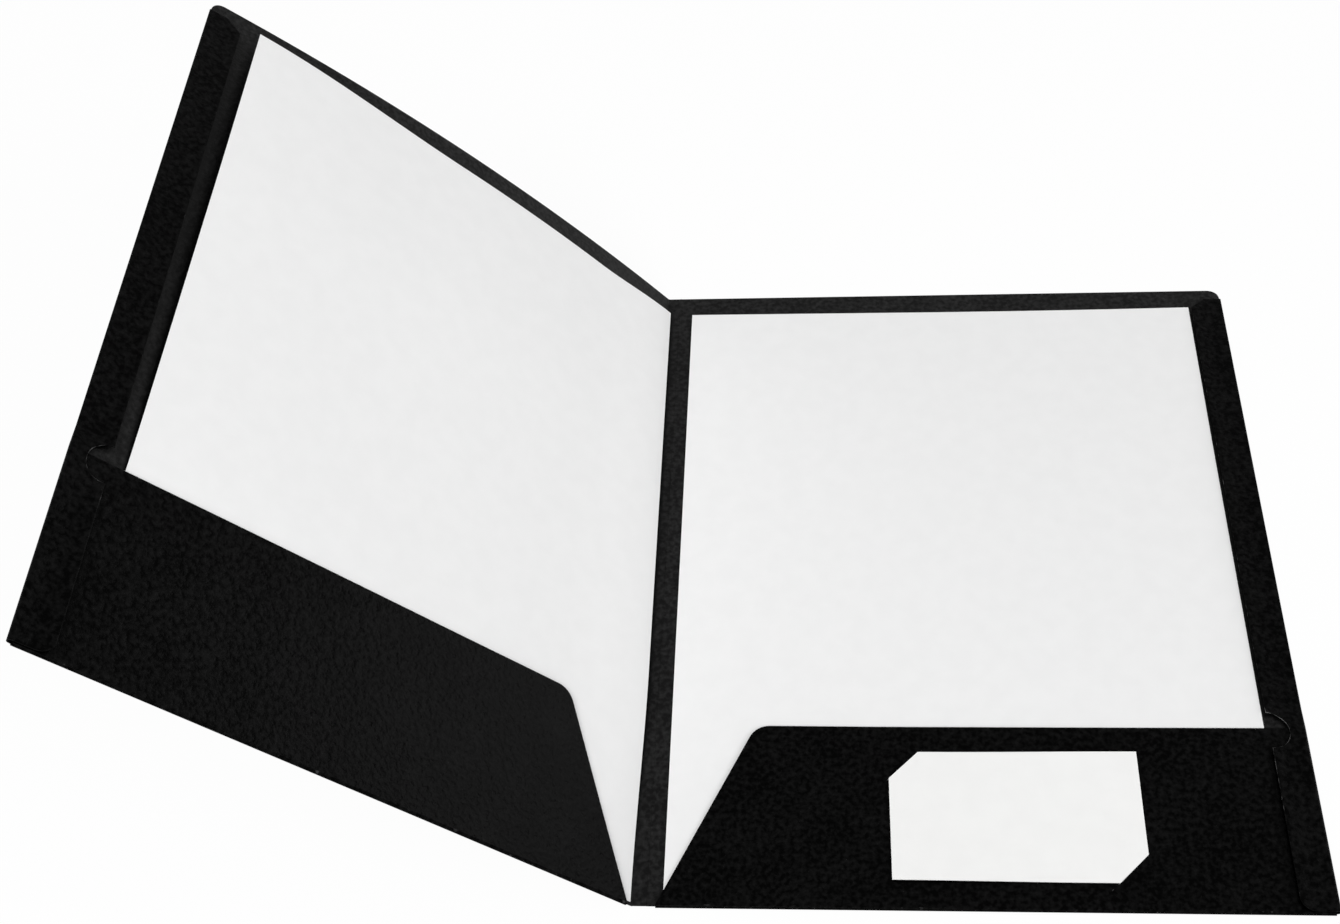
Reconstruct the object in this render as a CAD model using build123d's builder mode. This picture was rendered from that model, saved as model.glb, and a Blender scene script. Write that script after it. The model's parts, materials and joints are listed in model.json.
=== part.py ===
from build123d import *

import os
from math import cos, radians, sin, sqrt

# Two pocket folder, folded from one die-cut sheet of board and standing open on a table.
# The back cover lies flat and carries the spine, the spine carries the front cover, held half raised.
# Both covers have a low pocket folded up from the bottom edge and a flap folded in along the outer edge.
# Origin: centre of the back cover's underside. +X runs across the page, +Y up the page, +Z up from the table.

os.makedirs("parts", exist_ok=True)

# Covers
cover_width = 236.0  # crease line to outer edge
cover_height = 292.0  # bottom fold to top edge
board = 0.5  # thickness of the board
corner_radius = 4.5  # rounded top outer corner
cover_raise = 46.0  # angle of the front cover above the table, in degrees

# Spine and its two creases
spine_width = 5.5  # from one crease line to the other
crease_clearance = 0.05  # gap between a crease bead and the panel edges beside it

# Sheets in the pockets: these gaps leave room for letter paper, 215.9 wide and 279.4 high
sheet_thickness = 0.12
sheet_lift = 2.0  # bottom edge of a sheet above the folder's bottom edge
sheet_head_gap = 10.6  # top edge of a sheet below the cover's top edge
sheet_flap_gap = 1.1  # back sheet to the inner edge of the back flap
back_sheet_inset = 5.5  # back crease line to the sheet's edge
front_sheet_inset = 0.8  # front crease line to the sheet's edge
front_sheet_swell = 4.0  # top outer corner of the front sheet off its cover, within the closed folder's room
swell_height_shares = (0.0, 0.55, 1.0)  # from the pocket's top edge to the sheet's top edge
swell_rise_shares = (0.0, 0.75, 1.0)  # of the swell, at those heights
swell_middle_share = 0.8  # of the swell, halfway across the sheet

# Pockets
pocket_height = 72.0
pocket_foot = 3.0  # crease line to the foot of the slanted edge
pocket_lean = 34.0  # how far the slanted edge leans outward over the pocket's height
pocket_corner_radius = 8.0  # rounded corner between the slanted edge and the top edge
pocket_end_gap = 0.6  # pocket's outer end to the line where the edge fold begins
pocket_slack = 0.3  # free depth left in a pocket beside a sheet and a tucked card corner

# Side flaps
flap_width = 13.5  # inner edge to the folder's outer edge
flap_foot = 0.9  # lower end above the folder's bottom edge
flap_foot_radius = 4.5  # rounded lower inner corner
flap_head = 5.5  # upper end below the cover's top edge
flap_chamfer = 6.0  # cut-off upper inner corner
flap_ramp = 8.0  # length over which the flap steps down from the pocket to the cover
ramp_clearance = 0.5  # start of the step above the pocket's top edge
notch_radius = 7.5  # half-round relief in the flap's inner edge
notch_drop = 1.5  # centre of the relief below the pocket's top edge

# Glue under the flaps
glue_thickness = 0.1
glue_width = 4.0
glue_edge_gap = 0.6  # glue to the line where the edge fold begins
glue_end_gap = 3.0  # glue to the next end, notch or step of the flap

# Card and the two slits that hold it
card_width = 88.9
card_height = 50.8
card_thickness = 0.3
card_tuck = 11.0  # leg of each corner that is tucked behind the pocket
slit_width = 0.5
slit_overrun = 4.0  # slit beyond the card's edge, at each end

# Levels above a cover's outer face, and the folds that join them
crease_radius = board / 2
crease_gap = crease_radius + crease_clearance
sheet_level = board
pocket_level = sheet_level + sheet_thickness + pocket_slack + card_thickness
pocket_face = pocket_level + board
flap_foot_level = pocket_face + glue_thickness
flap_head_level = board + glue_thickness
pocket_fold_radius = pocket_face / 2
foot_fold_radius = (flap_foot_level + board) / 2
head_fold_radius = (flap_head_level + board) / 2

# Lines on a cover, across from its crease line or up from its bottom edge
fold_line = pocket_fold_radius
edge_line = cover_width - foot_fold_radius
pocket_shoulder = pocket_foot + pocket_lean
pocket_end = edge_line - pocket_end_gap
flap_line = cover_width - flap_width
flap_top = cover_height - flap_head
ramp_start = pocket_height + ramp_clearance
ramp_end = ramp_start + flap_ramp
notch_centre = pocket_height - notch_drop
panel_height = cover_height - fold_line
sheet_width = flap_line - sheet_flap_gap - back_sheet_inset
sheet_top = cover_height - sheet_head_gap

# Card edges, centred on the straight part of the pocket, and the slits across two of its corners
card_near = (pocket_shoulder + flap_line - card_width) / 2
card_far = card_near + card_width
card_low = (pocket_height - card_height) / 2
card_high = card_low + card_height
tucked_level = pocket_level - card_thickness
tuck_length = card_tuck * sqrt(2)
slit_slope = 45  # degrees
slit_middles = [
    (card_near + card_tuck / 2, card_high - card_tuck / 2),
    (card_far - card_tuck / 2, card_low + card_tuck / 2),
]

# Each cover has a frame of its own: origin on its crease line, Z from its outer face to the inside.
# Its outline is drawn outward along X times the side.
raise_angle = radians(cover_raise)
back_crease_line = Vector(-cover_width / 2, -cover_height / 2, crease_radius)
front_crease_line = back_crease_line - Vector(spine_width, 0, 0)
inward = Vector(sin(raise_angle), 0, cos(raise_angle))
back_plane = Plane(back_crease_line - Vector(0, 0, crease_radius))
front_plane = Plane(
    front_crease_line - inward * crease_radius,
    x_dir=(cos(raise_angle), 0, -sin(raise_angle)),
    z_dir=inward,
)
covers = {"back": (back_plane, 1), "front": (front_plane, -1)}


def spot(plane, side, across, up, level=0):
    """Point of a cover: across from its crease line, up from its bottom edge, level from its outer face."""
    return plane.from_local_coords(Vector(side * across, up, level))


def outline(side, corners):
    """Closed outline through corners given as (across, up)."""
    Polygon(*[(side * across, up) for across, up in corners])


def corner(side, across, up):
    """The drawn outline's corner nearest to a point."""
    wanted = Vector(side * across, up, 0)
    return min(vertices(), key=lambda vertex: (vertex.center() - wanted).length)


def rectangle(side, near, far, low, high):
    """Upright rectangle between two lines across the cover and two lines up the cover."""
    outline(side, [(near, low), (far, low), (far, high), (near, high)])


def half_ring(radius):
    """Section of a board folded back on itself, open towards minus X and standing on X."""
    with BuildLine() as ring:
        outer = CenterArc((0, radius), radius, -90, 180)
        inner = CenterArc((0, radius), radius - board, -90, 180)
        Line(outer @ 0, inner @ 0)
        Line(outer @ 1, inner @ 1)
    make_face(ring.edges())


def sheet_edge(level, near, far, rise):
    """One side of a sheet's section: flush with the cover at the spine, off it by the rise at the outer edge."""
    if rise == 0:
        return Line((near, level), (far, level))
    middle = ((near + far) / 2, level + swell_middle_share * rise)
    return ThreePointArc((near, level), middle, (far, level + rise))


def sheet_section(near, far, rise):
    """Section across a sheet, on X and above the cover's outer face."""
    with BuildLine() as strip:
        under = sheet_edge(sheet_level, near, far, rise)
        over = sheet_edge(sheet_level + sheet_thickness, near, far, rise)
        Line(under @ 0, over @ 0)
        Line(under @ 1, over @ 1)
    make_face(strip.edges())


def write(piece, name):
    """Labels a finished piece and writes its file."""
    piece.part.label = name
    export_step(piece.part, f"parts/{name}.step")


# Spine: a narrow strip between the two creases, flat on the table
spine_plane = Plane(front_crease_line - Vector(0, 0, crease_radius))
with BuildPart() as spine:
    with BuildSketch(spine_plane):
        rectangle(1, crease_gap, spine_width - crease_gap, fold_line, cover_height)
    extrude(amount=board)
write(spine, "spine")

# Creases: the bent beads of board that the spine and the covers turn about
for name, crease_line in {"back": back_crease_line, "front": front_crease_line}.items():
    with BuildPart() as crease:
        with BuildSketch(Plane(crease_line + Vector(0, fold_line, 0), x_dir=(1, 0, 0), z_dir=(0, 1, 0))):
            Circle(crease_radius)
        extrude(amount=panel_height)
    write(crease, f"{name}_crease")

for name, (plane, side) in covers.items():
    # Cover: the large panel, with its top outer corner rounded
    with BuildPart() as cover:
        with BuildSketch(plane):
            rectangle(side, crease_gap, edge_line, fold_line, cover_height)
            fillet(corner(side, edge_line, cover_height), corner_radius)
        extrude(amount=board)
    write(cover, f"{name}_cover")

    # Pocket: the panel folded up from the bottom edge, slanted and rounded at the spine end
    with BuildPart() as pocket:
        with BuildSketch(plane.offset(pocket_level)):
            outline(
                side,
                [
                    (pocket_foot, fold_line),
                    (pocket_end, fold_line),
                    (pocket_end, pocket_height),
                    (pocket_shoulder, pocket_height),
                ],
            )
            fillet(corner(side, pocket_shoulder, pocket_height), pocket_corner_radius)
        extrude(amount=board)
        if name == "back":
            with BuildSketch(plane.offset(pocket_level)):
                with Locations(*slit_middles):
                    Rectangle(tuck_length + 2 * slit_overrun, slit_width, rotation=slit_slope)
            extrude(amount=board, mode=Mode.SUBTRACT)
    write(pocket, f"{name}_pocket")

    # Pocket fold: the half-round bend from the cover into the pocket, along the bottom edge
    with BuildPart() as pocket_fold:
        bend_start = spot(plane, side, pocket_foot, fold_line)
        with BuildSketch(Plane(bend_start, x_dir=-plane.y_dir, z_dir=-plane.x_dir)):
            half_ring(pocket_fold_radius)
        extrude(amount=-side * (pocket_end - pocket_foot))
    write(pocket_fold, f"{name}_pocket_fold")

    # Side flap: folded in along the outer edge, lying on the pocket below and stepping down to the cover above
    with BuildPart() as flap:
        flap_start = spot(plane, side, flap_line, 0)
        with BuildSketch(Plane(flap_start, x_dir=plane.y_dir, z_dir=plane.x_dir)):
            with BuildLine():
                Polyline(
                    (flap_foot, flap_foot_level),
                    (ramp_start, flap_foot_level),
                    (ramp_end, flap_head_level),
                    (flap_top, flap_head_level),
                    (flap_top, flap_head_level + board),
                    (ramp_end, flap_head_level + board),
                    (ramp_start, flap_foot_level + board),
                    (flap_foot, flap_foot_level + board),
                    close=True,
                )
            make_face()
        extrude(amount=side * (edge_line - flap_line))
        with BuildSketch(plane):
            outline(
                side,
                [
                    (flap_line, flap_foot),
                    (edge_line, flap_foot),
                    (edge_line, flap_top),
                    (flap_line + flap_chamfer, flap_top),
                    (flap_line, flap_top - flap_chamfer),
                ],
            )
            fillet(corner(side, flap_line, flap_foot), flap_foot_radius)
            with Locations((side * flap_line, notch_centre)):
                Circle(notch_radius, mode=Mode.SUBTRACT)
        extrude(amount=flap_foot_level + board, mode=Mode.INTERSECT)
    write(flap, f"{name}_flap")

    # Edge fold: the bend from the cover into the flap, fatter where it goes round the pocket
    with BuildPart() as edge_fold:
        for up, radius in (
            (flap_foot, foot_fold_radius),
            (ramp_start, foot_fold_radius),
            (ramp_end, head_fold_radius),
            (flap_top, head_fold_radius),
        ):
            bend = spot(plane, side, edge_line, up)
            with BuildSketch(Plane(bend, x_dir=plane.x_dir * side, z_dir=plane.y_dir * -side)):
                half_ring(radius)
        loft(ruled=True)
    write(edge_fold, f"{name}_edge_fold")

    # Glue: one thin line from the flap to the pocket, one from the flap to the cover
    glue_far = edge_line - glue_edge_gap
    glue_near = glue_far - glue_width
    with BuildPart() as pocket_glue:
        glue_low = flap_foot + glue_end_gap
        glue_high = notch_centre - notch_radius - glue_end_gap
        with BuildSketch(plane.offset(pocket_face)):
            rectangle(side, glue_near, pocket_end, glue_low, glue_high)
        extrude(amount=glue_thickness)
    write(pocket_glue, f"{name}_pocket_glue")
    with BuildPart() as flap_glue:
        glue_low = ramp_end + glue_end_gap
        glue_high = flap_top - glue_end_gap
        with BuildSketch(plane.offset(board)):
            rectangle(side, glue_near, glue_far, glue_low, glue_high)
        extrude(amount=glue_thickness)
    write(flap_glue, f"{name}_flap_glue")

    # Letter sheet: lies on the inside of the cover with its lower part in the pocket.
    # Above the pocket, the front one swells off its raised cover.
    sheet_near = {"back": back_sheet_inset, "front": front_sheet_inset}[name]
    sheet_far = sheet_near + sheet_width
    flat_top = {"back": sheet_top, "front": pocket_height}[name]
    with BuildPart() as sheet:
        with BuildSketch(plane.offset(sheet_level)):
            rectangle(side, sheet_near, sheet_far, sheet_lift, flat_top)
        extrude(amount=sheet_thickness)
        if name == "front":
            for height_share, rise_share in zip(swell_height_shares, swell_rise_shares):
                station = spot(plane, side, 0, flat_top + height_share * (sheet_top - flat_top))
                with BuildSketch(Plane(station, x_dir=plane.x_dir * side, z_dir=plane.y_dir * -side)):
                    sheet_section(sheet_near, sheet_far, rise_share * front_sheet_swell)
            loft(ruled=True)
    write(sheet, f"{name}_sheet")

# Card: lies on the back pocket, with two opposite corners bent through the slits to behind the pocket
with BuildPart() as card:
    with BuildSketch(back_plane.offset(pocket_face)):
        outline(
            1,
            [
                (card_near, card_low),
                (card_far - card_tuck, card_low),
                (card_far, card_low + card_tuck),
                (card_far, card_high),
                (card_near + card_tuck, card_high),
                (card_near, card_high - card_tuck),
            ],
        )
    extrude(amount=card_thickness)
    with BuildSketch(back_plane.offset(tucked_level)):
        with Locations(*slit_middles):
            Rectangle(tuck_length - card_thickness, card_thickness, rotation=slit_slope)
    extrude(amount=pocket_face + card_thickness - tucked_level)
    with BuildSketch(back_plane.offset(tucked_level)):
        for tip, leg in (((card_near, card_high), card_tuck), ((card_far, card_low), -card_tuck)):
            outline(1, [tip, (tip[0], tip[1] - leg), (tip[0] + leg, tip[1])])
    extrude(amount=card_thickness)
write(card, "business_card")
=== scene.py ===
import json
import math

import bmesh
import bpy
from mathutils import Euler, Matrix, Vector
from mathutils.bvhtree import BVHTree


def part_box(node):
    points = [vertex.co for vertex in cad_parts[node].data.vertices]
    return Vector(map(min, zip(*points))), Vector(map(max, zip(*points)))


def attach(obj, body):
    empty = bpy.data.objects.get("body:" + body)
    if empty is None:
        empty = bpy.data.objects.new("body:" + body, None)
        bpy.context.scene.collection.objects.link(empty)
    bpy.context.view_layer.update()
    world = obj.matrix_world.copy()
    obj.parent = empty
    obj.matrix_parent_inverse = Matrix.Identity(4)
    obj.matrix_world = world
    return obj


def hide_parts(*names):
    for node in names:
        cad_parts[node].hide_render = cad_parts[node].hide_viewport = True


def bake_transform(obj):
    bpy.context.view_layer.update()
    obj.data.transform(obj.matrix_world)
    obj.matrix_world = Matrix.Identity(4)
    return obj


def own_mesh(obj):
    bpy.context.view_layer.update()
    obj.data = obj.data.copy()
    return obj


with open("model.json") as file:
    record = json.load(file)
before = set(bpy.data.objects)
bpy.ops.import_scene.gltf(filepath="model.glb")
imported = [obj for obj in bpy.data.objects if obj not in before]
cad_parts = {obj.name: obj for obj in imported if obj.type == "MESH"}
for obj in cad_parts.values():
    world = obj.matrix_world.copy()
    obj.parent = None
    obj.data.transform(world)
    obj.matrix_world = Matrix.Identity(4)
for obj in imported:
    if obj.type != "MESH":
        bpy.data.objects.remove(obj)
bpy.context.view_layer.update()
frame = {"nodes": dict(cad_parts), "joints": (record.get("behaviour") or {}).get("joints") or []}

MM = 0.001
UP = Vector((0, 1, 0))


# The two pages and their measures, read from the frame

def corners(node):
    """The corner points of a node's solid."""
    return [vertex.co for vertex in frame["nodes"][node].data.vertices]


class Page:
    """One cover's axes: across it from its crease, up it from its bottom edge, in from its outer face."""

    def __init__(self, crease, across, inward):
        self.crease, self.across, self.inward = crease, across, inward
        self.corner = Vector((crease.x, bottom_edge, crease.z)) - inward * board / 2

    def place(self, point):
        offset = point - self.corner
        return offset.dot(self.across), offset.dot(UP), offset.dot(self.inward)

    def point(self, across, up, inward):
        return self.corner + self.across * across + UP * up + self.inward * inward

    def extent(self, node):
        """Lowest and highest place of a node on this page."""
        places = [self.place(corner) for corner in corners(node)]
        return [min(axis) for axis in zip(*places)], [max(axis) for axis in zip(*places)]


joints = {joint["name"]: joint for joint in frame["joints"]}
back_axis = Vector(joints["spine_hinge"]["pos_m"])
front_axis = Vector(joints["cover_hinge"]["pos_m"])
cover_raise = math.radians(-joints["cover_hinge"]["range_deg"][0])
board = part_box("spine")[1].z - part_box("spine")[0].z
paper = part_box("back_sheet")[1].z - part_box("back_sheet")[0].z
bottom_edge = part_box("back_pocket_fold")[0].y
cover_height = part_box("back_cover")[1].y - bottom_edge
cover_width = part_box("back_edge_fold")[1].x - back_axis.x
panel_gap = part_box("back_cover")[0].x - back_axis.x

back_page = Page(back_axis, Vector((1, 0, 0)), Vector((0, 0, 1)))
front_page = Page(
    front_axis,
    Vector((-math.cos(cover_raise), 0, math.sin(cover_raise))),
    Vector((math.sin(cover_raise), 0, math.cos(cover_raise))),
)
pocket_height = back_page.extent("back_pocket")[1][1]
card_low, card_high = back_page.extent("business_card")
flap_line = back_page.extent("back_flap")[0][0]

# An edge fold goes round the pocket at its foot. Above its ramp it is slimmer, for the cover alone.
fold_start = back_page.extent("back_edge_fold")[0][0]
fold_heights = {round(back_page.place(corner)[1], 6) for corner in corners("back_edge_fold")}
_, ramp_start, ramp_end, _ = sorted(fold_heights)


def slim_shortfall(page, fold):
    """How far the slim part of an edge fold stays behind its foot, along the page and seen from above."""
    ramp_middle = bottom_edge + (ramp_start + ramp_end) / 2
    reach = max(corner.x / page.across.x for corner in corners(fold))
    slim_reach = max(corner.x / page.across.x for corner in corners(fold) if corner.y > ramp_middle)
    return reach - slim_reach


back_page.shortfall = slim_shortfall(back_page, "back_edge_fold")
front_page.shortfall = slim_shortfall(front_page, "front_edge_fold")


# How the board and the paper stand off flat

# Raised cover: the belly in the middle of its top edge, and the power by which it grows up the cover
COVER_BELLY = 6.5 * MM
COVER_BELLY_POWER = 2.6

# Pockets: the raised one's own belly, and the lift of the slanted corners that nothing holds down
POCKET_BELLY = 0.6 * MM
POCKET_BELLY_POWER = 1.5
FRONT_CORNER_LIFT = 0.4 * MM
BACK_CORNER_LIFT = 0.5 * MM
CORNER_LIFT_ACROSS = (95 * MM, 34 * MM)  # from none to all of the lift

# Flaps: how far the inner edge springs up, and the glued strip beside the outer edge that lies down
FLAP_SPRING = 1.2 * MM
FLAP_GLUED_STRIP = 7 * MM

# The strip beside an edge fold that gives way where the outer edge is drawn straight
OUTER_MARGIN = 6 * MM

# Card: the lift of its two free corners, off the diagonal between the two that are held
CARD_LIFT = 0.9 * MM
CARD_LIFT_OFF_DIAGONAL = (10 * MM, 44 * MM)  # from none to all of the lift

# Left leaf: its outer edge springs off above the pocket, and it bridges the bend at the spine
LEAF_SPRING = 5.6 * MM
LEAF_SPRING_ACROSS = (120 * MM, 225 * MM)
LEAF_SPRING_POWER = 0.6
LEAF_BRIDGE = 2.4 * MM
LEAF_BRIDGE_ACROSS = (42 * MM, 0)
LEAF_BRIDGE_UP = (5 * MM, 95 * MM)

# Left leaf: height up the page and the belly there halfway across, both in mm. Each belly is a little more
# than that of the bowed cover 80 mm further up, so that the leaf stays in front of the cover when it is
# drawn out of its pocket.
LEAF_BELLY = [
    (0, 0.3), (40, 0.7), (72, 1.22), (110, 2.25), (150, 3.7),
    (180, 5.05), (212, 6.65), (250, 7.3), (285, 7.4),
]

# Right leaf: a slight wave, its lengths across and up the page for one radian, and the top corners' curl
LEAF_WAVE = 0.12 * MM
LEAF_WAVE_ACROSS = 31 * MM
LEAF_WAVE_UP = 47 * MM
LEAF_CURL = 0.7 * MM
LEAF_CURL_UP = (160 * MM, 290 * MM)


def ramp(low, high, value):
    """Goes straight from 0 at low to 1 at high."""
    return min(max((value - low) / (high - low), 0), 1)


def ease(low, high, value):
    """Goes smoothly from 0 at low to 1 at high."""
    share = ramp(low, high, value)
    return share * share * (3 - 2 * share)


def arch(across):
    """1 halfway across a cover and 0 at its crease and its outer edge."""
    share = ramp(0, cover_width, across)
    return 4 * share * (1 - share)


def curve_through(stations, where):
    """The height of a smooth curve at a place. Each station is a place and the height there."""
    where = min(max(where, stations[0][0]), stations[-1][0])
    index = next(i for i in range(len(stations) - 1) if where <= stations[i + 1][0])
    (low, start), (high, end) = stations[index], stations[index + 1]
    before, after = stations[max(index - 1, 0)], stations[min(index + 2, len(stations) - 1)]
    span = high - low
    leave = (end - before[1]) / (high - before[0]) * span
    arrive = (after[1] - start) / (after[0] - low) * span
    t = (where - low) / span
    return (
        start * (2 * t**3 - 3 * t**2 + 1) + leave * (t**3 - 2 * t**2 + t)
        + end * (3 * t**2 - 2 * t**3) + arrive * (t**3 - t**2)
    )


def flat(across, up):
    return 0


def cover_bow(across, up):
    """The raised cover bellies inwards along its top edge. Its pocket keeps it straight at the bottom."""
    return COVER_BELLY * (max(up, 0) / cover_height) ** COVER_BELLY_POWER * arch(across)


def free_corner(across, up):
    """1 at the pocket's slanted corner, which nothing holds down."""
    return ease(*CORNER_LIFT_ACROSS, across) * ease(0, pocket_height, up)


def front_pocket_bow(across, up):
    belly = POCKET_BELLY * (max(up, 0) / pocket_height) ** POCKET_BELLY_POWER * arch(across)
    return cover_bow(across, up) + belly + FRONT_CORNER_LIFT * free_corner(across, up)


def back_pocket_bow(across, up):
    return BACK_CORNER_LIFT * free_corner(across, up)


def back_flap_bow(across, up):
    """A flap is glued near its fold, and its inner edge springs up a little."""
    return FLAP_SPRING * ease(cover_width - FLAP_GLUED_STRIP, flap_line, across)


def front_flap_bow(across, up):
    return cover_bow(across, up) + back_flap_bow(across, up)


def outer_pull(page, across, up):
    """How far the outer margin is drawn out beside the edge fold's slim part, to keep the edge straight."""
    beside = ramp(ramp_start, ramp_end, up)
    return page.shortfall * beside * ease(fold_start - OUTER_MARGIN, fold_start, across)


def card_stand(across, up):
    """The card is held by two opposite corners, and its other two lift off the pocket."""
    width, height = card_high[0] - card_low[0], card_high[1] - card_low[1]
    aside = (across - card_low[0]) * height + (up - card_high[1]) * width
    off_diagonal = abs(aside) / math.hypot(width, height)
    return back_pocket_bow(across, up) + CARD_LIFT * ease(*CARD_LIFT_OFF_DIAGONAL, off_diagonal)


def front_leaf_stand(across, up):
    """The left leaf bellies with its cover. Above the pocket its outer edge springs off, and it bridges the
    bend at the spine."""
    belly = curve_through(LEAF_BELLY, up / MM) * MM * arch(across)
    free_height = max(up - pocket_height, 0) / (cover_height - pocket_height)
    spring = LEAF_SPRING * ease(*LEAF_SPRING_ACROSS, across) * free_height**LEAF_SPRING_POWER
    bridge = LEAF_BRIDGE * ease(*LEAF_BRIDGE_ACROSS, across) * ease(*LEAF_BRIDGE_UP, up)
    return belly + spring + bridge


def back_leaf_stand(across, up):
    """The right leaf lies nearly flat, with a slight wave and a little curl at its top corners."""
    wave = LEAF_WAVE * (1 + math.sin(across / LEAF_WAVE_ACROSS + up / LEAF_WAVE_UP))
    curl = LEAF_CURL * ease(*LEAF_CURL_UP, up) * (2 * across / cover_width - 1) ** 2
    return wave + curl


# How far the board's cut edges and folds are rubbed, where 1 is most. Round the flaps' notches, on the flap
# edges below them and along the pockets' folds, the mark is partly a painted highlight where the rim catches
# the light.

PLAIN_RUB = 0.7
# The pocket's fold is lighter along its crest, partly wear and partly a painted highlight where the crest
# catches the light.
POCKET_FOLD_WEAR_AND_HIGHLIGHT = 0.62
EDGE_FOLD_RUB = 0.4
CREASE_RUB = 0.3

# Flaps: least at the foot, most round the thumb notch, and a share of the way between above and below it.
# Round the notch and below it the mark is partly a painted highlight on the lit rim.
FLAP_RUB = 0.62
NOTCH_WEAR_AND_HIGHLIGHT = 1.0
NOTCH_DROP = 1.5 * MM  # the notch's middle below the pocket's top edge
NOTCH_WEAR_AND_HIGHLIGHT_REACH = (10 * MM, 8.2 * MM)  # from the notch's middle
ABOVE_NOTCH_SHARE = 0.26
BELOW_NOTCH_SHARE = 0.65
BELOW_NOTCH_REACH = (-50 * MM, -15 * MM)  # from none to all of that share


def plain_edge(across, up):
    return PLAIN_RUB


def flap_wear_and_highlight(across, up):
    """A flap is rubbed by the leaves that are drawn past it, most round its notch and next below it; there
    the lighter mark is partly a painted highlight on the lit rim.
    """
    above_notch = up - (pocket_height - NOTCH_DROP)
    round_notch = ease(*NOTCH_WEAR_AND_HIGHLIGHT_REACH, math.hypot(across - flap_line, above_notch))
    beside_notch = ABOVE_NOTCH_SHARE
    if above_notch < 0:
        beside_notch = BELOW_NOTCH_SHARE * ease(*BELOW_NOTCH_REACH, above_notch)
    return FLAP_RUB + (NOTCH_WEAR_AND_HIGHLIGHT - FLAP_RUB) * max(round_notch, beside_notch)


# Finishes

# How wide the parts of each pattern are, in mm
BOARD_CLOUD = 18
BOARD_FIBRE = 1.9
FLECK_OF_WEAR_AND_HIGHLIGHT = 3.2
PAPER_TOOTH = 0.6
GLUE_BUBBLE = 0.8

# How far from other pieces the painted shade on the board reaches
PAINTED_SHADE_REACH = 25 * MM

# Sockets of a mix of two colours, by number because their names come more than once
MIX_SHARE, MIX_FROM, MIX_TO, MIXED = 0, 6, 7, 2


def linear(colour):
    """An sRGB hex colour as linear RGBA."""
    parts = [int(colour[i:i + 2], 16) / 255 for i in (1, 3, 5)]
    return *(c / 12.92 if c <= 0.04045 else ((c + 0.055) / 1.055) ** 2.4 for c in parts), 1


BLACK = linear("#000000")
WHITE = linear("#ffffff")
WORN_AND_HIGHLIT_BOARD = linear("#707070")


def per_metre(size_mm):
    """The scale of a pattern whose parts are that many millimetres wide."""
    return 1000 / size_mm


def add(tree, kind, inputs=None, **settings):
    """Adds a node with its settings. An input that is another node's output is linked, any other is set."""
    made = tree.nodes.new(kind)
    for name, value in settings.items():
        setattr(made, name, value)
    for name, value in (inputs or {}).items():
        if isinstance(value, bpy.types.NodeSocket):
            tree.links.new(value, made.inputs[name])
        else:
            made.inputs[name].default_value = value
    return made


def new_material(name):
    material = bpy.data.materials.new(name)
    material.use_nodes = True
    material.node_tree.nodes.clear()
    return material, material.node_tree


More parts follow.
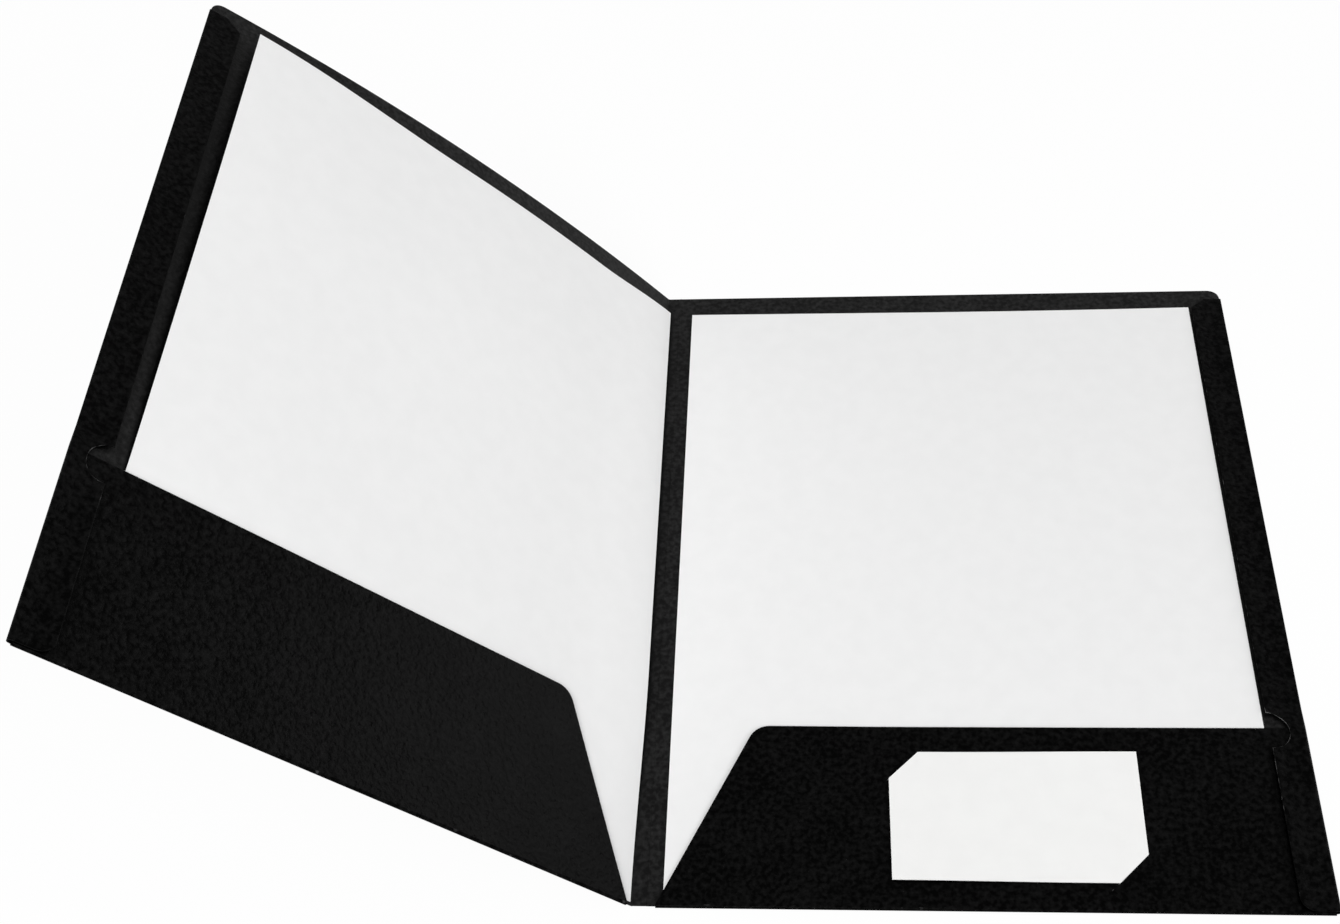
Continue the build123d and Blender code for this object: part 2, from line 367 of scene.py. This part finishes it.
def cover_board(name, ground, mottle, specular, roughness):
    """Cover board of dyed pulp, pressed between felts: matt, with a fine mottle of lighter fibre, cloudy
    over a finger's breadth, and pale flecks where its cut edges rub; round the flaps' notches and along the
    pockets' folds these pale marks are partly a painted highlight. Where another panel or a leaf lies close,
    the board is painted darker as shade."""
    material, tree = new_material(name)
    place = add(tree, "ShaderNodeTexCoord").outputs["Object"]
    cloud = add(
        tree, "ShaderNodeTexNoise", {"Vector": place, "Scale": per_metre(BOARD_CLOUD), "Detail": 2.0},
    )
    fibre = add(
        tree, "ShaderNodeTexNoise",
        {"Vector": place, "Scale": per_metre(BOARD_FIBRE),
         "Detail": 2.0, "Roughness": 0.5, "Distortion": 0.1},
    )
    both = add(
        tree, "ShaderNodeMath",
        {0: cloud.outputs["Fac"], 1: 0.25, 2: fibre.outputs["Fac"]}, operation="MULTIPLY_ADD",
    )
    share = add(tree, "ShaderNodeMapRange", {"Value": both.outputs[0], "From Min": 0.5, "From Max": 0.85})
    colour = add(
        tree, "ShaderNodeMix",
        {MIX_SHARE: share.outputs[0], MIX_FROM: linear(ground), MIX_TO: linear(mottle)}, data_type="RGBA",
    )
    # Pale flecks on the cut edges: wear, and round the flaps' notches and along the pockets' folds partly a
    # painted highlight.
    edge = add(tree, "ShaderNodeAttribute", attribute_name="cut_edge")
    rub_and_highlight = add(tree, "ShaderNodeTexNoise", {"Vector": place, "Scale": per_metre(FLECK_OF_WEAR_AND_HIGHLIGHT), "Detail": 3.0})
    wear_and_highlight = add(
        tree, "ShaderNodeMath", {0: edge.outputs["Fac"], 1: rub_and_highlight.outputs["Fac"]}, operation="MULTIPLY",
    )
    wear_and_highlight_fleck = add(
        tree, "ShaderNodeMapRange",
        {"Value": wear_and_highlight.outputs[0], "From Min": 0.4, "From Max": 0.62, "To Max": 0.75},
    )
    # Where another panel or a leaf lies close, the board is painted darker: painted shade, as in a crack
    # that little light reaches.
    open_air = add(tree, "ShaderNodeAmbientOcclusion", {"Distance": PAINTED_SHADE_REACH}, samples=6)
    painted_shade = add(
        tree, "ShaderNodeMapRange",
        {"Value": open_air.outputs["AO"], "From Min": 0.5, "From Max": 0.9, "To Min": 0.05},
    )
    shaded = add(
        tree, "ShaderNodeMix",
        {MIX_SHARE: painted_shade.outputs[0], MIX_FROM: BLACK, MIX_TO: colour.outputs[MIXED]}, data_type="RGBA",
    )
    shown = add(
        tree, "ShaderNodeMix",
        {MIX_SHARE: wear_and_highlight_fleck.outputs[0], MIX_FROM: shaded.outputs[MIXED], MIX_TO: WORN_AND_HIGHLIT_BOARD}, data_type="RGBA",
    )
    matt = add(
        tree, "ShaderNodeMapRange",
        {"Value": fibre.outputs["Fac"], "From Min": 0.3, "From Max": 0.7,
         "To Min": roughness - 0.06, "To Max": roughness + 0.06},
    )
    relief = add(
        tree, "ShaderNodeBump",
        {"Height": fibre.outputs["Fac"], "Strength": 0.5, "Distance": 0.5 * MM},
    )
    shader = add(
        tree, "ShaderNodeBsdfPrincipled",
        {"Base Color": shown.outputs[MIXED], "Roughness": matt.outputs[0], "IOR": 1.5,
         "Specular IOR Level": specular, "Normal": relief.outputs[0]},
    )
    add(tree, "ShaderNodeOutputMaterial", {"Surface": shader.outputs[0]})
    return material


def wood_free_paper(name, ground, cloudy, formation_mm, roughness):
    """White wood-free paper off a wire: almost even, a little cloudy where the fibre lies thicker, with a
    soft tooth. The tooth is about 0.1 mm, and is drawn coarser so that it shows."""
    material, tree = new_material(name)
    place = add(tree, "ShaderNodeTexCoord").outputs["Object"]
    formation = add(
        tree, "ShaderNodeTexNoise", {"Vector": place, "Scale": per_metre(formation_mm), "Detail": 4.0},
    )
    share = add(
        tree, "ShaderNodeMapRange", {"Value": formation.outputs["Fac"], "From Min": 0.35, "From Max": 0.65},
    )
    colour = add(
        tree, "ShaderNodeMix",
        {MIX_SHARE: share.outputs[0], MIX_FROM: linear(ground), MIX_TO: linear(cloudy)}, data_type="RGBA",
    )
    tooth = add(
        tree, "ShaderNodeTexNoise", {"Vector": place, "Scale": per_metre(PAPER_TOOTH), "Detail": 3.0},
    )
    relief = add(
        tree, "ShaderNodeBump", {"Height": tooth.outputs["Fac"], "Strength": 0.08, "Distance": 0.05 * MM},
    )
    matt = add(
        tree, "ShaderNodeMapRange",
        {"Value": tooth.outputs["Fac"], "From Min": 0.3, "From Max": 0.7,
         "To Min": roughness - 0.05, "To Max": roughness + 0.05},
    )
    shader = add(
        tree, "ShaderNodeBsdfPrincipled",
        {"Base Color": colour.outputs[MIXED], "Roughness": matt.outputs[0], "IOR": 1.5,
         "Specular IOR Level": 0.3, "Normal": relief.outputs[0]},
    )
    add(tree, "ShaderNodeOutputMaterial", {"Surface": shader.outputs[0]})
    return material


def dried_glue(name):
    """Dried dispersion glue, rolled on in a line: pale, slightly glossy, with fine bubbles that cloud it."""
    material, tree = new_material(name)
    place = add(tree, "ShaderNodeTexCoord").outputs["Object"]
    bubble = add(
        tree, "ShaderNodeTexNoise", {"Vector": place, "Scale": per_metre(GLUE_BUBBLE), "Detail": 3.0},
    )
    colour = add(
        tree, "ShaderNodeMix",
        {MIX_SHARE: bubble.outputs["Fac"], MIX_FROM: linear("#d8d3c4"), MIX_TO: linear("#c7c0ac")},
        data_type="RGBA",
    )
    relief = add(
        tree, "ShaderNodeBump", {"Height": bubble.outputs["Fac"], "Strength": 0.3, "Distance": 0.03 * MM},
    )
    shader = add(
        tree, "ShaderNodeBsdfPrincipled",
        {"Base Color": colour.outputs[MIXED], "Roughness": 0.4, "IOR": 1.47, "Normal": relief.outputs[0]},
    )
    add(tree, "ShaderNodeOutputMaterial", {"Surface": shader.outputs[0]})
    return material


# The face that goes outside has a darker, closer surface than the one inside, and the pulp shows at a cut.
outer_face = cover_board(
    "black_cover_board_smooth_side", ground="#000000", mottle="#101010", specular=0.02, roughness=0.32,
)
inner_face = cover_board(
    "black_cover_board_felt_side", ground="#060606", mottle="#242424", specular=0.075, roughness=0.5,
)
cut_face = cover_board(
    "black_cover_board_cut", ground="#080808", mottle="#1c1c1c", specular=0.05, roughness=0.85,
)
leaf_paper = wood_free_paper(
    "white_wood_free_paper", ground="#efefef", cloudy="#ededed", formation_mm=8, roughness=0.8,
)
card_board = wood_free_paper(
    "white_coated_card", ground="#f1f1f0", cloudy="#efefee", formation_mm=9, roughness=0.55,
)
glue_film = dried_glue("clear_dispersion_glue")


# Building the pieces

# Where each finish stands in the list of a piece of board
OUTER, INNER, CUT = 0, 1, 2

# How finely the pieces are divided so that they can bend
BOARD_CELL = 7 * MM
FLAP_CELL = 3 * MM
THIN_CELL = 4 * MM
LEAF_COLUMNS, LEAF_ROWS = 60, 78
CREASE_STEPS, CREASE_ROWS = 10, 42
SAME_PLANE = 0.0001 * MM  # a corner this near to a cut lies on it

# How a node's solid is welded and its flat faces joined, and the sharpest turn that still looks round
WELD = 0.002 * MM
FLAT_ANGLE = math.radians(0.5)
ROUND_ANGLE = math.radians(40)

# Cut edges: the rim of a panel that wear reaches, and the rounding of its arris
RUBBED_RIM = 0.7 * MM
ARRIS_ROUND = 0.1 * MM
ARRIS_ANGLE = 0.9  # least turn at an arris, in radians
JOINED = 0.08 * MM  # a face this near to the next panel runs on into it

# Creases: how far the board is sunk outside and beaded inside
CREASE_SINK = 0.05 * MM
CREASE_BEAD = 0.1 * MM

# The two slits that hold the card: their width in the CAD, and how far they run on past the card at each end
SLIT_WIDTH = 0.5 * MM
SLIT_OVERRUN = 4 * MM
SHORTEST_SLIT = 10 * MM

# A lip's distance from the slit's middle beside the card and past it, and the strip that gives way to that
LIP_APART = 0.17 * MM
LIP_CLOSED = 0.01 * MM
LIP_GIVE = 1 * MM


def finish_piece(mesh_name, form, finishes, node, smooth=True):
    """Turns a bmesh into a shown object that stands for its node."""
    mesh = bpy.data.meshes.new(mesh_name)
    form.to_mesh(mesh)
    form.free()
    for finish in finishes:
        mesh.materials.append(finish)
    if smooth:
        mesh.shade_smooth()
        mesh.set_sharp_from_angle(angle=ROUND_ANGLE)
    piece = bpy.data.objects.new(mesh_name, mesh)
    bpy.context.scene.collection.objects.link(piece)
    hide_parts(node)
    return piece


def hang(piece, page, body):
    """Rides a body. What lies on the raised cover gets a mesh of its own."""
    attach(piece, body)
    if page is front_page:
        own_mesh(piece)


def cut_along(form, point, normal):
    """Cuts a form's faces along a plane and keeps both halves."""
    bmesh.ops.bisect_plane(
        form, geom=form.verts[:] + form.edges[:] + form.faces[:], dist=SAME_PLANE,
        plane_co=point, plane_no=normal,
    )


def cut_in_cells(form, page, node, cell):
    """Cuts a solid along evenly spaced lines across and up the page, and at both ends of the folds' ramp."""
    low, high = page.extent(node)
    for axis, normal, ramp_ends in ((0, page.across, []), (1, UP, [ramp_start, ramp_end])):
        cells = range(math.ceil(low[axis] / cell), math.floor(high[axis] / cell) + 1)
        for line in [number * cell for number in cells] + ramp_ends:
            cut_along(form, page.corner + normal * line, normal)


def bend(form, page, stand):
    """Draws a flat form out along the outer edge and stands it off the page."""
    for vertex in form.verts:
        across, up, inward = page.place(vertex.co)
        vertex.co = page.point(across + outer_pull(page, across, up), up, inward + stand(across, up))


def merged_solid(node):
    """A copy of a node's solid with its corners welded and its flat faces whole."""
    form = bmesh.new()
    form.from_mesh(frame["nodes"][node].data)
    bmesh.ops.remove_doubles(form, verts=form.verts, dist=WELD)
    bmesh.ops.dissolve_limit(form, angle_limit=FLAT_ANGLE, verts=form.verts, edges=form.edges)
    return form


def lies_flat(face, page):
    """Whether a face belongs to one of the board's two sides, and not to its edge."""
    return abs(face.normal.dot(page.inward)) > 0.5


def longest_edge(face):
    return max(edge.calc_length() for edge in face.edges)


def cut_edges(form, page, neighbours):
    """The faces along which the board was cut, leaving out those where it runs on into the next panel."""
    solids = [merged_solid(node) for node in neighbours]
    trees = [BVHTree.FromBMesh(solid) for solid in solids]
    found = []
    for face in form.faces:
        if lies_flat(face, page):
            continue
        half_longest = longest_edge(face) / 2
        long_edges = [edge for edge in face.edges if edge.calc_length() > half_longest]
        spots = [face.calc_center_median()]
        spots += [(edge.verts[0].co + edge.verts[1].co) / 2 for edge in long_edges]
        if not any(tree.find_nearest(spot, JOINED)[0] for tree in trees for spot in spots):
            found.append(face)
    for solid in solids:
        solid.free()
    return found


def on_slope(page, vertex):
    """A vertex's place along and aside of a line that rises at 45 degrees across the page."""
    across, up, _ = page.place(vertex.co)
    return (across + up) * math.sqrt(0.5), (up - across) * math.sqrt(0.5)


def slits_in(form, page):
    """The slits cut through a panel at 45 degrees: the middle of each, along and aside of the slope, and
    half its length."""
    slits = []
    for face in form.faces:
        upright = abs(face.normal.dot(page.inward)) <= 0.1
        sloped = abs(face.normal.dot(page.across) + face.normal.dot(UP)) <= 0.02
        if not (upright and sloped) or longest_edge(face) < SHORTEST_SLIT:
            continue
        places = [on_slope(page, vertex) for vertex in face.verts]
        along, aside = [place[0] for place in places], places[0][1]
        middle = (min(along) + max(along)) / 2
        twin = next((slit for slit in slits if abs(slit[1] - aside) < 2 * SLIT_WIDTH), None)
        if twin:
            twin[1] = (twin[1] + aside) / 2
        else:
            slits.append([middle, aside, max(along) - middle])
    return slits


def close_slit(form, page, along, aside, half_length):
    """Brings a slit's lips together as a knife leaves them, apart from where the card goes through."""
    slope = (page.across + UP).normalized()
    card_half, lip = half_length - SLIT_OVERRUN, SLIT_WIDTH / 2
    for end in (-card_half - LIP_GIVE, -card_half, card_half, card_half + LIP_GIVE):
        cut_along(form, page.corner + slope * (along + end), slope)
    for vertex in form.verts:
        run, off = on_slope(page, vertex)
        run, off = abs(run - along), off - aside
        if run > half_length + LIP_GIVE or not 0 < abs(off) < LIP_GIVE:
            continue
        opening = LIP_APART + (LIP_CLOSED - LIP_APART) * ease(card_half, card_half + LIP_GIVE, run)
        opening += (lip - opening) * ease(half_length, half_length + LIP_GIVE, run)
        wanted = opening + (abs(off) - lip) * (LIP_GIVE - opening) / (LIP_GIVE - lip)
        vertex.co += (UP - page.across).normalized() * (math.copysign(wanted, off) - off)


def board_panel(node, page, stand, body, turned, neighbours, rub_and_highlight=plain_edge, cell=BOARD_CELL):
    """A panel of the folder's board: its cut edges are rounded off and rubbed, partly a painted highlight
    round the flaps' notches, and it bends as the board does. A turned panel is one that is folded over, so
    that its outer side shows inside the folder."""
    form = merged_solid(node)
    slits = slits_in(form, page)
    rim = cut_edges(form, page, neighbours)
    wear_and_highlight = form.verts.layers.float.new("cut_edge")
    for face in rim:
        for vertex in face.verts:
            vertex[wear_and_highlight] = 1
    sides = [face for face in form.faces if lies_flat(face, page)]
    bmesh.ops.inset_region(form, faces=sides, thickness=RUBBED_RIM, use_even_offset=True, use_boundary=True)
    for face in sides:
        for vertex in face.verts:
            vertex[wear_and_highlight] = 0
    arris = [
        edge for edge in form.edges
        if len(edge.link_faces) == 2 and edge.calc_face_angle(0) > ARRIS_ANGLE
        and sum(face in rim for face in edge.link_faces) == 1
    ]
    bmesh.ops.bevel(
        form, geom=arris, offset=ARRIS_ROUND, segments=2, profile=0.5, affect="EDGES", clamp_overlap=True,
    )
    cut_in_cells(form, page, node, cell)
    for vertex in form.verts:
        across, up, _ = page.place(vertex.co)
        vertex[wear_and_highlight] *= rub_and_highlight(across, up)
    for slit in slits:
        close_slit(form, page, *slit)
    form.normal_update()
    for face in form.faces:
        inside = face.normal.dot(page.inward) > 0
        if not lies_flat(face, page):
            face.material_index = CUT
        else:
            face.material_index = OUTER if inside == turned else INNER
    bend(form, page, stand)
    piece = finish_piece(node + "_board", form, [outer_face, inner_face, cut_face], node)
    hang(piece, page, body)


def board_fold(node, page, stand, body, rub_and_highlight):
    """The bend from one panel into the next. Its outer side is all that shows, a little rubbed; along a
    pocket's foot this lighter mark is partly a painted highlight on the crest.
    """
    form = merged_solid(node)
    wear_and_highlight = form.verts.layers.float.new("cut_edge")
    cut_in_cells(form, page, node, BOARD_CELL)
    for vertex in form.verts:
        vertex[wear_and_highlight] = rub_and_highlight
    bend(form, page, stand)
    piece = finish_piece(node + "_board", form, [outer_face], node)
    hang(piece, page, body)


def thin_piece(node, page, stand, body, name, finish):
    """A card or a line of glue that follows the board it lies on."""
    form = merged_solid(node)
    cut_in_cells(form, page, node, THIN_CELL)
    bend(form, page, stand)
    piece = finish_piece(name, form, [finish], node, smooth=False)
    hang(piece, page, body)


def leaf(node, page, stand, body):
    """A leaf of letter paper, standing off its cover as it lies in the pocket."""
    low, high = page.extent(node)
    columns, rows = LEAF_COLUMNS, LEAF_ROWS
    form = bmesh.new()
    layers = []
    for inward in (low[2], low[2] + paper):
        layer = []
        for row in range(rows + 1):
            up = low[1] + (high[1] - low[1]) * row / rows
            line = []
            for column in range(columns + 1):
                across = low[0] + (high[0] - low[0]) * column / columns
                line.append(form.verts.new(page.point(across, up, inward + stand(across, up))))
            layer.append(line)
        layers.append(layer)
    under, over = layers
    for row in range(rows):
        for column in range(columns):
            cell = [(row, column), (row, column + 1), (row + 1, column + 1), (row + 1, column)]
            form.faces.new([over[r][c] for r, c in cell])
            form.faces.new([under[r][c] for r, c in reversed(cell)])
    rim = [(0, c) for c in range(columns)] + [(r, columns) for r in range(rows)]
    rim += [(rows, c) for c in range(columns, 0, -1)] + [(r, 0) for r in range(rows, 0, -1)]
    for (r, c), (next_r, next_c) in zip(rim, rim[1:] + rim[:1]):
        form.faces.new([under[r][c], under[next_r][next_c], over[next_r][next_c], over[r][c]])
    bmesh.ops.recalc_face_normals(form, faces=form.faces)
    piece = finish_piece(node + "_paper", form, [leaf_paper], node)
    hang(piece, page, body)
    return piece


def crease(node, axis, turn, from_side, to_side, bodies):
    """The scored line between two panels: a narrow strip of board that bends, sunk outside and beaded
    inside. The panels end at from_side and to_side, along X from the axis, and turn is how far it is bent at
    rest."""
    low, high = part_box(node)
    steps, rows = CREASE_STEPS, CREASE_ROWS
    form = bmesh.new()
    wear_and_highlight = form.verts.layers.float.new("cut_edge")
    rings = []
    for row in range(rows + 1):
        y = low.y + (high.y - low.y) * row / rows
        ring = []
        for level, swell, order in (
            (-board / 2, CREASE_SINK, range(steps + 1)),
            (board / 2, CREASE_BEAD, range(steps, -1, -1)),
        ):
            for step in order:
                share = step / steps
                bead = math.sin(math.pi * share) ** 2
                flat_point = Vector((from_side + (to_side - from_side) * share, 0, level + swell * bead))
                bent = Matrix.Rotation(turn * ease(0, 1, share), 3, "Y") @ flat_point
                made = form.verts.new((axis.x + bent.x, y, axis.z + bent.z))
                made[wear_and_highlight] = CREASE_RUB * bead
                ring.append(made)
        rings.append(ring)
    for near, far in zip(rings, rings[1:]):
        for i in range(len(near)):
            j = (i + 1) % len(near)
            form.faces.new([near[i], near[j], far[j], far[i]])
    form.faces.new(rings[0][::-1])
    form.faces.new(rings[-1])
    bmesh.ops.recalc_face_normals(form, faces=form.faces)
    for face in form.faces:
        face.material_index = INNER if face.calc_center_median().z > axis.z else OUTER
    piece = finish_piece(node + "_board", form, [outer_face, inner_face], node)
    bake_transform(piece)


for side, page, lying, held, sprung in (
    ("back", back_page, flat, back_pocket_bow, back_flap_bow),
    ("front", front_page, cover_bow, front_pocket_bow, front_flap_bow),
):
    body = side + "_half"
    pocket_fold, edge_fold = side + "_pocket_fold", side + "_edge_fold"
    board_panel(side + "_cover", page, lying, body, False, [pocket_fold, edge_fold, side + "_crease"])
    board_fold(pocket_fold, page, held, body, POCKET_FOLD_WEAR_AND_HIGHLIGHT)
    board_panel(side + "_pocket", page, held, body, True, [pocket_fold])
    board_fold(edge_fold, page, lying, body, EDGE_FOLD_RUB)
    board_panel(side + "_flap", page, sprung, body, True, [edge_fold], flap_wear_and_highlight, FLAP_CELL)
    for glue in (side + "_pocket_glue", side + "_flap_glue"):
        thin_piece(glue, page, lying, body, glue + "_film", glue_film)

board_panel("spine", back_page, flat, "spine_strip", False, ["back_crease", "front_crease"])
crease("back_crease", back_axis, 0, panel_gap, -panel_gap, ("back_half", "spine_strip"))
crease("front_crease", front_axis, cover_raise, panel_gap, -panel_gap, ("spine_strip", "front_half"))
thin_piece(
    "business_card", back_page, card_stand, "back_half", "business_card_stock", card_board,
)

back_leaf = leaf("back_sheet", back_page, back_leaf_stand, "back_insert")
front_leaf = leaf("front_sheet", front_page, front_leaf_stand, "front_insert")


# Studio

FLOOR_SIZE = 8  # metres
FLOOR_DROP = 0.1 * MM  # below the folder's underside
FOLDER_MIDDLE = (-0.06, 0, 0.05)
RAISED_POCKET = (-0.15, -0.1, 0.03)


def seen(tree):
    """1 for what the camera sees, straight or mirrored, and 0 for light scattered between surfaces."""
    path = add(tree, "ShaderNodeLightPath").outputs
    mirrored = add(
        tree, "ShaderNodeMath",
        {0: path["Is Glossy Ray"], 1: path["Is Transmission Ray"]}, operation="MAXIMUM",
    )
    either = add(
        tree, "ShaderNodeMath", {0: path["Is Camera Ray"], 1: mirrored.outputs[0]}, operation="MAXIMUM",
    )
    return either.outputs[0]


def studio_tent():
    """White cloth all round. It lights the folder less than it shows, so that the lamps shape the folder."""
    world = bpy.data.worlds.new("studio_tent")
    world.use_nodes = True
    tree = world.node_tree
    tree.nodes.clear()
    level = add(tree, "ShaderNodeMapRange", {"Value": seen(tree), "To Min": 0.35, "To Max": 1.0})
    tent = add(tree, "ShaderNodeBackground", {"Color": WHITE, "Strength": level.outputs[0]})
    add(tree, "ShaderNodeOutputWorld", {"Surface": tent.outputs[0]})
    bpy.context.scene.world = world


def studio_floor():
    """A sweep of matt white paper. It keeps the folder's shadow, otherwise shows white, and goes over into
    the background further away."""
    bpy.ops.mesh.primitive_plane_add(size=FLOOR_SIZE, location=(0, 0, -FLOOR_DROP))
    floor = bpy.context.object
    floor.name = "studio_floor"
    material, tree = new_material("white_background_paper")
    matt = add(tree, "ShaderNodeBsdfDiffuse", {"Color": linear("#f6f6f6")})
    white = add(tree, "ShaderNodeEmission", {"Color": WHITE, "Strength": 1.0})
    place = add(tree, "ShaderNodeTexCoord").outputs["Object"]
    away = add(tree, "ShaderNodeVectorMath", {0: place}, operation="LENGTH")
    bare = add(
        tree, "ShaderNodeMapRange",
        {"Value": away.outputs["Value"], "From Min": 0.6, "From Max": 2.0, "To Min": 0.94, "To Max": 1.0},
    )
    share = add(tree, "ShaderNodeMath", {0: seen(tree), 1: bare.outputs[0]}, operation="MULTIPLY")
    mixed = add(tree, "ShaderNodeMixShader", {0: share.outputs[0], 1: matt.outputs[0], 2: white.outputs[0]})
    add(tree, "ShaderNodeOutputMaterial", {"Surface": mixed.outputs[0]})
    floor.data.materials.append(material)


def soft_box(name, place, aim, size, power):
    """A round lamp behind cloth, turned to what it lights."""
    lamp = bpy.data.lights.new(name, "AREA")
    lamp.shape, lamp.size, lamp.energy = "DISK", size, power
    made = bpy.data.objects.new(name, lamp)
    bpy.context.scene.collection.objects.link(made)
    made.location = place
    made.rotation_euler = (Vector(aim) - Vector(place)).to_track_quat("-Z", "Y").to_euler()


def photo_camera():
    """The camera, at the photograph's place and angle."""
    lens = bpy.data.cameras.new("camera")
    lens.sensor_fit = "HORIZONTAL"
    lens.sensor_width, lens.lens = 36, 48.811
    lens.clip_start, lens.clip_end = 0.01, 30
    camera = bpy.data.objects.new("camera", lens)
    bpy.context.scene.collection.objects.link(camera)
    camera.location = (-0.05587, -0.41723, 0.59049)
    camera.rotation_euler = Euler([math.radians(angle) for angle in (38.610, 4.046, 2.577)])
    bpy.context.scene.camera = camera


bpy.context.scene.view_settings.view_transform = "Standard"
studio_tent()
studio_floor()
soft_box("key_right", place=(1.5, -1.1, 1.4), aim=FOLDER_MIDDLE, size=1.1, power=13.5)
soft_box("fill_left", place=(-0.8, -1.3, 2.1), aim=FOLDER_MIDDLE, size=1.3, power=38.8)
# The raised pocket mirrors this lamp towards the camera, most of all next to the spine.
soft_box("rim_right", place=(1.6, 0.85, 0.22), aim=RAISED_POCKET, size=0.9, power=8.5)
photo_camera()
